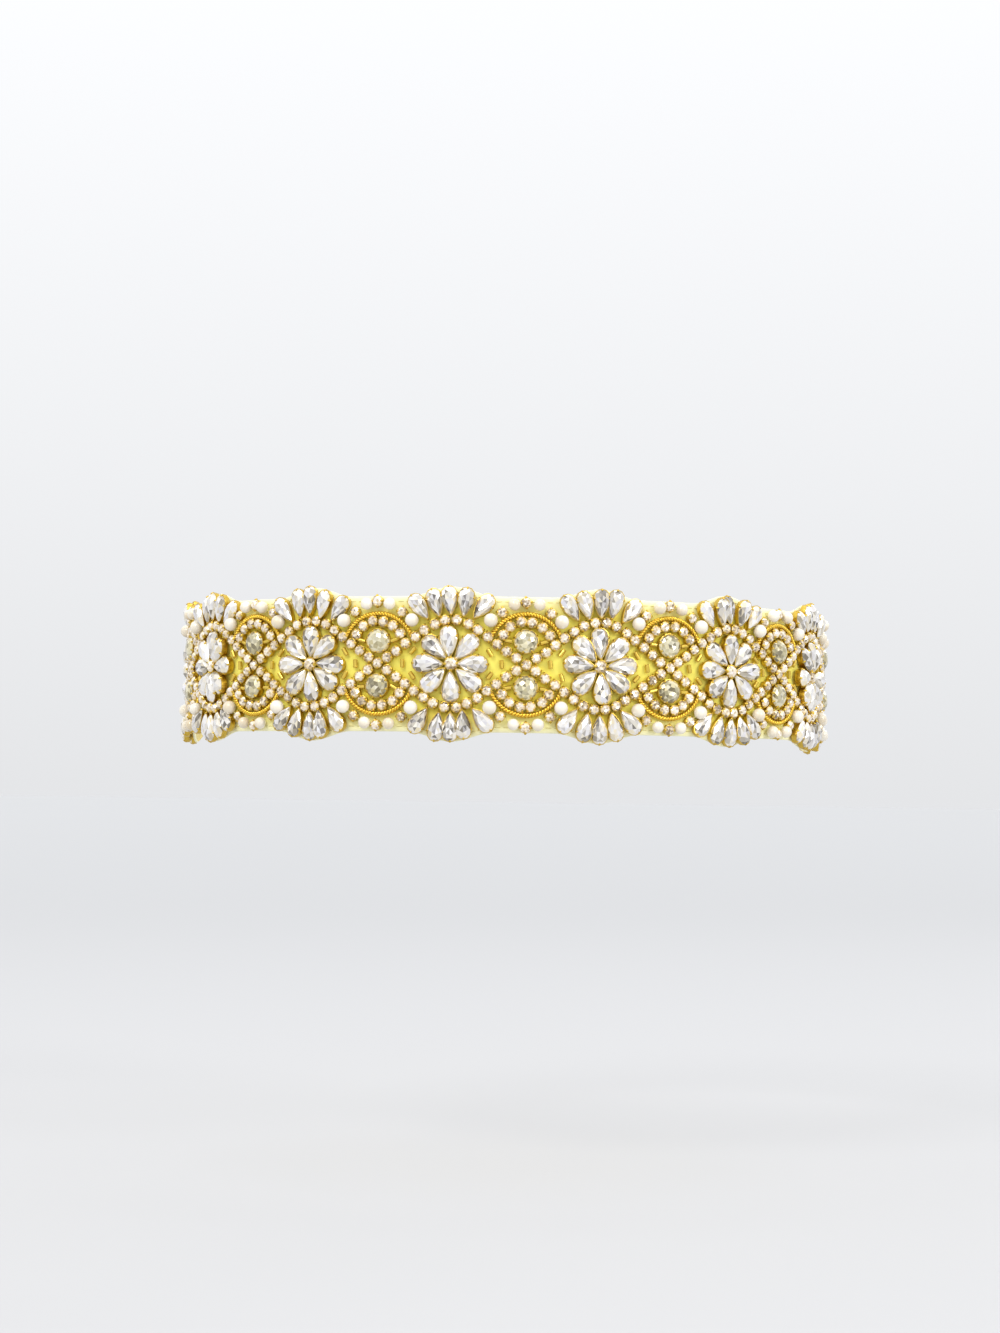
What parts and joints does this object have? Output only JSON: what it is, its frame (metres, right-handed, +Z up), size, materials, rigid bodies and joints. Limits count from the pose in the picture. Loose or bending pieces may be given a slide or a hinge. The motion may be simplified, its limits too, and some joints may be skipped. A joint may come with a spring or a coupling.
{
  "type": "bridal sash",
  "caption": "Worn bridal sash: an oval band of yellow cloth, its scalloped front panel set with crystal flowers, chains and pearls, its ribbons lapped at the back.",
  "frame": {"origin": "middle of the waist that the sash goes round, at half the height of the band", "axes": "+Z up along the wearer's body, -Y to the wearer's front, +X to the wearer's left"},
  "size_m": [0.268, 0.2203, 0.0582],
  "materials": {
    "cloth": "yellow cloth with a low sheen",
    "ribbon": "yellow satin",
    "crystal": "faceted foil-backed crystal in gold settings",
    "pearl": "ivory pearls, with small crystals between them",
    "gold": "crystal cup chain and twisted gold cord"
  },
  "bodies": {
    "root": {"front_panel": "cloth", "back_ribbon_left": "ribbon", "back_ribbon_right": "ribbon", "chain_scroll": "gold", "flower_1": "crystal", "flower_2": "crystal", "flower_3": "crystal", "flower_4": "crystal", "flower_5": "crystal", "flower_6": "crystal", "flower_7": "crystal", "flower_8": "crystal", "fan_top_1": "crystal", "fan_top_2": "crystal", "fan_top_3": "crystal", "fan_top_4": "crystal", "fan_top_5": "crystal", "fan_top_6": "crystal", "fan_top_7": "crystal", "fan_top_8": "crystal", "garland_top_1": "pearl", "eye_stone_top_1": "crystal", "garland_top_2": "pearl", "eye_stone_top_2": "crystal", "garland_top_3": "pearl", "eye_stone_top_3": "crystal", "garland_top_4": "pearl", "eye_stone_top_4": "crystal", "garland_top_5": "pearl", "eye_stone_top_5": "crystal", "garland_top_6": "pearl", "eye_stone_top_6": "crystal", "garland_top_7": "pearl", "eye_stone_top_7": "crystal", "fan_bottom_1": "crystal", "fan_bottom_2": "crystal", "fan_bottom_3": "crystal", "fan_bottom_4": "crystal", "fan_bottom_5": "crystal", "fan_bottom_6": "crystal", "fan_bottom_7": "crystal", "fan_bottom_8": "crystal", "garland_bottom_1": "pearl", "eye_stone_bottom_1": "crystal", "garland_bottom_2": "pearl", "eye_stone_bottom_2": "crystal", "garland_bottom_3": "pearl", "eye_stone_bottom_3": "crystal", "garland_bottom_4": "pearl", "eye_stone_bottom_4": "crystal", "garland_bottom_5": "pearl", "eye_stone_bottom_5": "crystal", "garland_bottom_6": "pearl", "eye_stone_bottom_6": "crystal", "garland_bottom_7": "pearl", "eye_stone_bottom_7": "crystal", "end_beads_left": "pearl", "end_beads_right": "pearl"}
  },
  "joints": []
}
